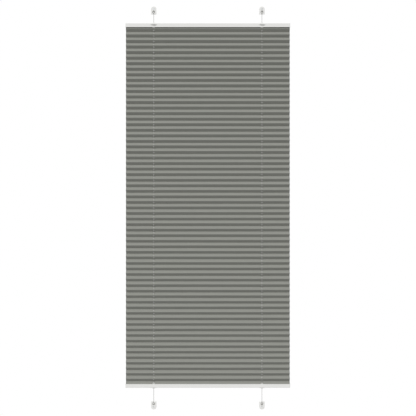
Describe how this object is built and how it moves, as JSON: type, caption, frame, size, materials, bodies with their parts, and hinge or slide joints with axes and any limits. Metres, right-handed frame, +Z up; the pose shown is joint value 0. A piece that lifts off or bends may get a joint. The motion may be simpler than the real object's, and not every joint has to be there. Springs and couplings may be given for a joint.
{
  "type": "pleated blind",
  "caption": "Pleated window blind with slim rails that slide on taut cords between sash clamps.",
  "frame": {"origin": "middle of the blind between its two cords and half-way between the clamps' outer ends, on the plane of the window sash's room-side face", "axes": "+X to the right seen from the room, +Y from the room to the window, +Z up"},
  "size_m": [0.9, 0.0565, 2.2028],
  "materials": {
    "fabric": "fine matte weave",
    "rail": "satin white powder coat",
    "white_plastic": "satin white",
    "inner_plastic": "matte",
    "knob_plastic": "matte grey",
    "cord": "braided grey",
    "spring_steel": "bright wire",
    "screw_steel": "zinc plated",
    "soft_pad": "matte"
  },
  "bodies": {
    "root": {"pleated_fabric": "fabric", "cord_left": "cord", "cord_right": "cord", "tension_shoe_top_left": "white_plastic", "tension_shoe_top_right": "white_plastic", "tension_shoe_bottom_left": "white_plastic", "tension_shoe_bottom_right": "white_plastic", "cord_knob_top_left": "knob_plastic", "cord_knob_top_right": "knob_plastic", "cord_knob_bottom_left": "knob_plastic", "cord_knob_bottom_right": "knob_plastic", "clamp_base_top_left": "white_plastic", "clamp_base_top_right": "white_plastic", "clamp_base_bottom_left": "white_plastic", "clamp_base_bottom_right": "white_plastic", "face_pad_top_left": "soft_pad", "face_pad_top_right": "soft_pad", "face_pad_bottom_left": "soft_pad", "face_pad_bottom_right": "soft_pad"},
    "top_rail_body": {"top_rail": "rail", "top_fabric_strip": "inner_plastic", "end_cap_top_left": "white_plastic", "end_cap_top_right": "white_plastic", "cord_guide_top_left": "white_plastic", "cord_guide_top_right": "white_plastic", "finger_tab_left": "white_plastic", "finger_tab_right": "white_plastic", "crossing_cord_front": "cord", "crossing_cord_back": "cord"},
    "bottom_rail_body": {"bottom_rail": "rail", "bottom_fabric_strip": "inner_plastic", "end_cap_bottom_left": "white_plastic", "end_cap_bottom_right": "white_plastic", "cord_guide_bottom_left": "white_plastic", "cord_guide_bottom_right": "white_plastic", "tension_spring": "spring_steel", "spring_eye_left": "inner_plastic", "spring_eye_right": "inner_plastic", "cord_loop_left": "cord", "cord_loop_right": "cord"},
    "screw_body_top_left": {"clamp_screw_top_left": "screw_steel"},
    "jaw_body_top_left": {"clamp_jaw_top_left": "white_plastic", "jaw_pad_top_left": "soft_pad"},
    "screw_body_top_right": {"clamp_screw_top_right": "screw_steel"},
    "jaw_body_top_right": {"clamp_jaw_top_right": "white_plastic", "jaw_pad_top_right": "soft_pad"},
    "screw_body_bottom_left": {"clamp_screw_bottom_left": "screw_steel"},
    "jaw_body_bottom_left": {"clamp_jaw_bottom_left": "white_plastic", "jaw_pad_bottom_left": "soft_pad"},
    "screw_body_bottom_right": {"clamp_screw_bottom_right": "screw_steel"},
    "jaw_body_bottom_right": {"clamp_jaw_bottom_right": "white_plastic", "jaw_pad_bottom_right": "soft_pad"}
  },
  "joints": [
    {"name": "top_rail_slide", "type": "slide", "parent": "root", "child": "top_rail_body", "axis": [0, 0, -1], "range_m": [0, 0.945], "deforming": ["pleated_fabric"]},
    {"name": "bottom_rail_slide", "type": "slide", "parent": "root", "child": "bottom_rail_body", "axis": [0, 0, 1], "range_m": [0, 0.945], "deforming": ["pleated_fabric"]},
    {"name": "screw_turn_top_left", "type": "hinge", "parent": "root", "child": "screw_body_top_left", "pos_m": [-0.296, -0.01, 1.08719], "axis": [0, 1, 0], "range_deg": [-2572, 2572]},
    {"name": "jaw_slide_top_left", "type": "slide", "parent": "root", "child": "jaw_body_top_left", "axis": [0, 1, 0], "range_m": [-0.005, 0.005]},
    {"name": "screw_turn_top_right", "type": "hinge", "parent": "root", "child": "screw_body_top_right", "pos_m": [0.296, -0.01, 1.08719], "axis": [0, 1, 0], "range_deg": [-2572, 2572]},
    {"name": "jaw_slide_top_right", "type": "slide", "parent": "root", "child": "jaw_body_top_right", "axis": [0, 1, 0], "range_m": [-0.005, 0.005]},
    {"name": "screw_turn_bottom_left", "type": "hinge", "parent": "root", "child": "screw_body_bottom_left", "pos_m": [-0.296, -0.01, -1.08719], "axis": [0, 1, 0], "range_deg": [-2572, 2572]},
    {"name": "jaw_slide_bottom_left", "type": "slide", "parent": "root", "child": "jaw_body_bottom_left", "axis": [0, 1, 0], "range_m": [-0.005, 0.005]},
    {"name": "screw_turn_bottom_right", "type": "hinge", "parent": "root", "child": "screw_body_bottom_right", "pos_m": [0.296, -0.01, -1.08719], "axis": [0, 1, 0], "range_deg": [-2572, 2572]},
    {"name": "jaw_slide_bottom_right", "type": "slide", "parent": "root", "child": "jaw_body_bottom_right", "axis": [0, 1, 0], "range_m": [-0.005, 0.005]}
  ],
  "couplings": [
    {"joint": "screw_turn_top_left", "follows": "jaw_slide_top_left", "rad_per_m": -8976},
    {"joint": "screw_turn_top_right", "follows": "jaw_slide_top_right", "rad_per_m": -8976},
    {"joint": "screw_turn_bottom_left", "follows": "jaw_slide_bottom_left", "rad_per_m": -8976},
    {"joint": "screw_turn_bottom_right", "follows": "jaw_slide_bottom_right", "rad_per_m": -8976}
  ]
}
